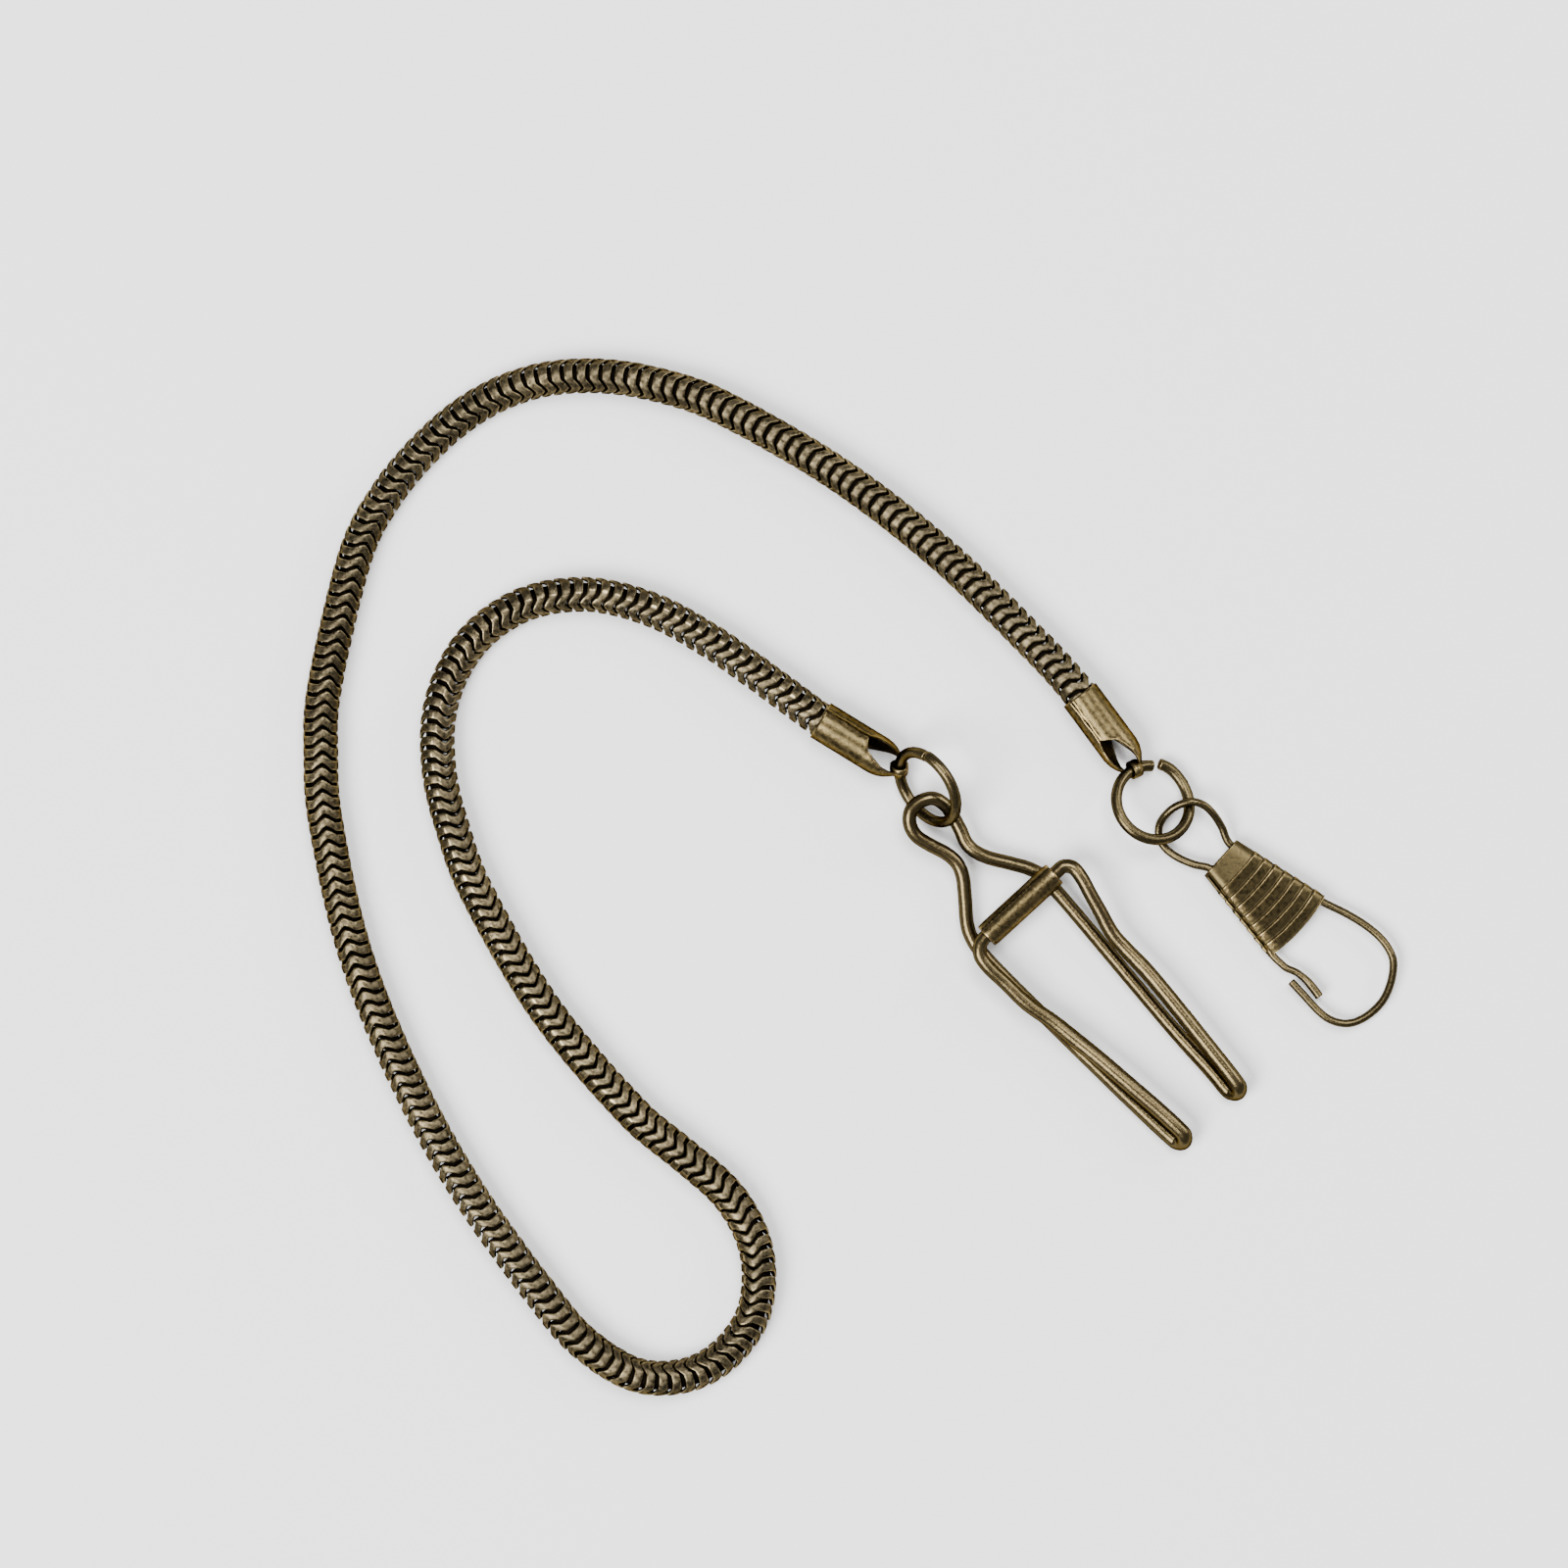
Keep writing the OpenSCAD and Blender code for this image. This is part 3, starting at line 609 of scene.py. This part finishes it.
def build_cap(name, body, node, at, turn, eye_z, ring, seam_side):
    """Sheet rolled to a tube and cut away to two straps, with an eye round the ring at their ends."""
    eye_axis = turned(ring_way(ring[0], ring[1], ring[3]), -turn)
    eye = np.array([CAP_EYE_X, 0, eye_z])
    wall, tube_end = 0.15, 4.4
    verts, faces, wear_and_painted_light_values = [], [], []
    along = np.concatenate([np.linspace(0, tube_end, 23), np.linspace(tube_end, CAP_LENGTH, 54)[1:]])
    strips = 34
    for side in (1, -1):
        tops = NARROW_TOP if side == 1 else BROAD_TOP
        for layer in (0, 1):
            first = sum(len(v) for v in verts)
            rows = []
            for x in along:
                # The broad strap's sheet is a little sunk along its edge, and uneven.
                sink = 0.03 * math.sin(x * 2.3) + 0.02 * math.sin(x * 5.1 + 1)
                r = np.interp(x, *CAP_RADIUS) - (wall if layer else 0)
                start = np.interp(x, *tops) + 1.2 * math.sin(x * 3.1) * (x < 4.5)
                a = np.radians(np.linspace(start, np.interp(x, *STRAP_END), strips))
                dip = np.zeros(strips)
                if side == -1:
                    dip = (0.07 + sink) * np.exp(-np.arange(strips) / 1.6)
                rows.append(np.stack([np.full(strips, x), seam_side * side * (r - dip) * np.sin(a),
                                      (r - dip) * np.cos(a)], 1))
                rub_and_painted_light = np.full(strips, 0.1 if layer == 0 else -0.6)
                if layer == 0:
                    rub_and_painted_light[[0, 1, -1, -2]] += 0.6
                    rub_and_painted_light += 0.6 * (x < 0.15) + 0.15 * (x > 5)
                wear_and_painted_light_values.append(rub_and_painted_light)
            verts.append(np.concatenate(rows))
            quads = ring_faces(len(along), strips, closed=False, first=first)
            faces += quads if (side * seam_side == 1) == (layer == 1) else [q[::-1] for q in quads]
        outer, inner = sum(len(v) for v in verts[:-2]), sum(len(v) for v in verts[:-1])
        last = len(along) - 1
        for i in range(last):
            for edge in (0, strips - 1):
                o, p = outer + i * strips + edge, inner + i * strips + edge
                faces.append([o, o + strips, p + strips, p])
        for i in range(strips - 1):
            for rank in (0, last):
                o, p = outer + rank * strips + i, inner + rank * strips + i
                faces.append([o, o + 1, p + 1, p])
    # The eye: a short ring round the jump ring's wire.
    side_a = unit(np.cross(eye_axis, [0, 0, 1.0]))
    side_b = np.cross(eye_axis, side_a)
    first = sum(len(v) for v in verts)
    around = 40
    sections = [(0.63, -0.4), (0.72, -0.46), (0.84, -0.42), (0.86, 0), (0.84, 0.42), (0.72, 0.46),
                (0.63, 0.4)]
    a = np.arange(around) * 2 * np.pi / around
    for r, w in sections:
        bulge = 1 + 0.04 * np.sin(3 * a + 1)
        verts.append(eye + w * eye_axis + (r * bulge)[:, None] * (np.cos(a)[:, None] * side_a
                                                                   + np.sin(a)[:, None] * side_b))
        wear_and_painted_light_values.append(np.full(around, 0.35 if r > 0.7 else 0.0))
    faces += ring_faces(len(sections), around, first=first)
    faces += closing_faces(len(sections), around, first=first)
    world = at + turned(np.concatenate(verts), turn)
    obj = new_object(name, world, faces, SHEET_METAL, wear_and_painted_light=np.concatenate(wear_and_painted_light_values))
    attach(obj, body)
    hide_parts(node)
    return at + turned(eye, turn)


# ---------- snap hook ----------

HOOK_Z = 1.12
HOOK_WIRE_R = 0.36
# The gate's wire, and how much thicker it is at its flattened end.
GATE_WIRE_R, GATE_END_SWELL = 0.34, 0.05
BARREL_AT, BARREL_TURN, BARREL_LEN = np.array([33.7, 2, HOOK_Z]), -42, 9.3
HOOK_LINE = [(35.6, -2.5, HOOK_Z), (34.4, -1, HOOK_Z), (32.9, 0.8, HOOK_Z), (31.2, 1.3, 1.05),
             (29.8, 1.9, 0.9), (28.8, 2.6, 0.78), (28.2, 3.4, 0.72), (28, 4.3, 0.85), (28.2, 5.2, 1.15),
             (28.9, 6.1, 1.7), (29.8, 6.7, 2.1), (30.9, 7, 2.3), (32, 6.7, 2.22), (32.9, 5.9, 1.95),
             (33.7, 4.7, 1.5), (34.5, 3.1, 1.2), (36.8, 1.6, HOOK_Z), (39, 0.2, HOOK_Z),
             (42.7, -2, HOOK_Z),
             (45, -3.15, HOOK_Z), (46.8, -4.25, HOOK_Z), (48.2, -5.45, HOOK_Z), (49.1, -6.8, HOOK_Z),
             (49.3, -8, HOOK_Z), (49, -9.6, HOOK_Z), (48.3, -11.1, HOOK_Z), (47.1, -12.3, HOOK_Z),
             (45.8, -13, HOOK_Z), (44.6, -13.1, HOOK_Z), (43.4, -12.7, HOOK_Z), (42.4, -11.9, HOOK_Z),
             (41.2, -10.6, HOOK_Z), (40, -9.3, HOOK_Z)]
GATE_LINE = [(37.9, -6, HOOK_Z), (38.3, -6.9, HOOK_Z), (39, -7.6, HOOK_Z), (39.6, -8.1, HOOK_Z),
             (40.5, -8.5, HOOK_Z), (41.3, -9.1, HOOK_Z), (42, -9.9, HOOK_Z), (42.6, -10.7, HOOK_Z)]


def build_hook():
    hook = tube_object("hook_wire_bent", smooth_curve(HOOK_LINE, 9), HOOK_WIRE_R, 24, 0.1, 0.05)
    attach(hook, "snap_hook")
    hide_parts("hook_wire")
    path = smooth_curve(GATE_LINE, 10)
    s = lengths(path)
    radius = GATE_WIRE_R + GATE_END_SWELL * np.clip((s - s[-1] + 2.2) / 0.8, 0, 1)
    gate = tube_object("hook_gate_wire", path, radius, 24, 0.15, 0.04)
    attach(gate, "hook_gate")
    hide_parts("hook_gate")


def build_barrel():
    """Sheet folded over the wires, pressed with curved saw-tooth ridges, open along its right side."""
    rows, around = 150, 120
    ridges, start, rise, wall = 7, 2.0, 0.17, 0.24
    # Each ridge falls away over most of its pitch; the first one has a short lead-in.
    fall, lead = 0.9, 0.12
    pitch = (BARREL_LEN - start) / ridges
    height, bow = 1.08, 0.45
    fold = math.radians(7)
    # Angle 0 is at the open fold, on the right side of the barrel.
    a = np.linspace(fold, 2 * math.pi - fold, around)
    verts, wear_and_painted_light_values = [], []

    def row(x, layer):
        half = 2.1 + 1.6 * x / BARREL_LEN
        inset = wall if layer else 0
        c, s = -np.cos(a), np.sin(a)
        y = np.sign(c) * np.abs(c) ** 0.42 * (half - inset)
        z = np.sign(s) * np.abs(s) ** 0.62
        phase = (x - start) / pitch
        tooth = 0.0
        # Painted shade: the flat lip before the ridges is darkened, and the foot of each ridge more so,
        # while each crest is lightened as rubbed wear, so each ridge is painted from dark to light.
        rub_and_painted_light = -0.25
        if phase > -lead and not layer:
            if phase < 0:
                tooth = (phase + lead) / lead
            else:
                tooth = 1 - (phase % 1) / fall if phase % 1 < fall else (phase % 1 - fall) / 0.1
            rub_and_painted_light = 0.75 if tooth > 0.86 else -0.35 * (tooth < 0.25)
        lift = height - rise * (1 - tooth)
        spread = np.clip(1 - (np.abs(y) / half) ** 8, 0, 1)
        z = z * ((lift if phase > -lead else height - 0.1) - inset)
        side_in = rise * 0.55 * (1 - tooth) * (np.abs(c) > 0.9) if phase > -lead else 0.05
        y = y - np.sign(y) * side_in
        # Along the fold the lower half of the sheet stands out beyond the edge of the upper half.
        under = np.clip((a - 2 * math.pi + 0.9) / 0.6, 0, 1)
        y = y - 0.26 * under + 0.10 * np.clip((0.5 - a) / 0.4, 0, 1)
        x_bent = x + bow * (1 - (y / half) ** 2) * (x / BARREL_LEN)
        verts.append(np.stack([x_bent, y, z], 1))
        # Painted highlight: the ends of the ridges at the side edges are lightened as rubbed wear, and
        # much more on the fold side, standing for the bright dashes of light along the fold.
        edge = (0.45 + 0.6 * (c < 0)) * (np.abs(c) > 0.9) * (tooth > 0.45)
        lip = 0.7 * (x < 0.12) + 0.5 * (x > BARREL_LEN - 0.12) + 0.5 * (under > 0.8)
        # Painted highlight: bright dashes on the upper sheet beside the fold, on the raised part of each
        # ridge.
        edge = edge + 0.7 * (y / half < -0.72) * (c > -0.98) * (s > 0) * (tooth > 0.4) * (phase > 0)
        wear_and_painted_light_values.append(np.clip(rub_and_painted_light * (0.4 + 0.6 * spread) + edge + lip, -0.3, 1.3) if not layer
                     else np.full(around, -0.4))

    xs = np.linspace(0, BARREL_LEN, rows)
    for x in xs:
        row(x, False)
    for x in xs[::-5]:
        row(x, True)
    count = len(verts)
    inner = count - rows
    verts = np.concatenate(verts)
    faces = ring_faces(count, around, closed=False) + closing_faces(count, around, closed=False)
    for end in (0, around - 1):
        for k in range(inner - 1):
            o, p = k * 5, count - 1 - k
            loop = [o + j for j in range(6) if o + j < rows]
            quad = [i * around + end for i in loop] + [(p - 1) * around + end, p * around + end]
            faces.append(quad if end else quad[::-1])
    world = BARREL_AT + turned(verts, BARREL_TURN)
    obj = new_object("hook_barrel_sheet", world, faces, SHEET_METAL, wear_and_painted_light=np.concatenate(wear_and_painted_light_values))
    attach(obj, "snap_hook")
    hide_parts("hook_barrel")


# ---------- floor, light, camera ----------

FLOOR_HALF = 2.0
FLOOR_DROP = 0.00005
LENS = 200
SENSOR = 36
# Width of what the camera sees at the height of the chain's middle, and that height, in metres.
VIEW_WIDTH = 0.1422
VIEW_HEIGHT = 0.0016


def build_stage():
    mesh = bpy.data.meshes.new("floor")
    w = FLOOR_HALF
    mesh.from_pydata([(-w, -w, 0), (w, -w, 0), (w, w, 0), (-w, w, 0)], [], [[0, 1, 2, 3]])
    floor = bpy.data.objects.new("floor", mesh)
    bpy.context.scene.collection.objects.link(floor)
    mat = bpy.data.materials.new("floor_white")
    mat.use_nodes = True
    bsdf = mat.node_tree.nodes["Principled BSDF"]
    bsdf.inputs["Base Color"].default_value = (0.96, 0.96, 0.96, 1)
    bsdf.inputs["Roughness"].default_value = 0.9
    mesh.materials.append(mat)
    floor.location.z = -FLOOR_DROP

    world = bpy.data.worlds.new("studio")
    world.use_nodes = True
    background = world.node_tree.nodes["Background"]
    background.inputs["Color"].default_value = (1, 1, 1, 1)
    background.inputs["Strength"].default_value = 0.38
    bpy.context.scene.world = world

    def light(name, place, size, power, aim=(0, 0, 0)):
        data = bpy.data.lights.new(name, "AREA")
        data.shape = "RECTANGLE"
        data.size, data.size_y = size
        data.energy = power
        lamp = bpy.data.objects.new(name, data)
        bpy.context.scene.collection.objects.link(lamp)
        lamp.location = place
        lamp.rotation_euler = (Vector(aim) - Vector(place)).to_track_quat("-Z", "Y").to_euler()

    light("key_soft", (-0.40, -0.28, 0.68), (0.45, 0.45), 13.0)
    light("top_soft", (0.10, 0.30, 0.85), (0.40, 0.40), 8.0)
    light("right_soft", (0.6, 0.35, 0.4), (0.3, 0.3), 3.0)

    cam_data = bpy.data.cameras.new("camera")
    cam_data.lens = LENS
    cam_data.sensor_width = SENSOR
    cam_data.clip_start = 0.01
    cam = bpy.data.objects.new("camera", cam_data)
    cam.location = (-0.0060, 0.0086, VIEW_WIDTH * LENS / SENSOR + VIEW_HEIGHT)
    bpy.context.scene.collection.objects.link(cam)
    bpy.context.scene.camera = cam


build_chain()
build_clip()
build_sleeve()
clip_eye = build_cap("clip_cap_sheet", "chain_01", "clip_end_cap", CLIP_CAP, CLIP_CAP_TURN,
                     CLIP_EYE_Z, CLIP_RING, 1)
hook_eye = build_cap("hook_cap_sheet", "chain_42", "hook_end_cap", HOOK_CAP, HOOK_CAP_TURN,
                     HOOK_EYE_Z, HOOK_RING, -1)
build_ring("clip_ring_wire", "clip_jump_ring", "clip_jump_ring", CLIP_RING, clip_eye, 131, 3,
           (0.0, 0.22, 0.05, 0.16))
build_ring("hook_ring_wire", "hook_jump_ring", "hook_jump_ring", HOOK_RING, hook_eye, 126, 8,
           (0.05, 0.3, 0.0, 0.2))
build_hook()
build_barrel()
build_stage()
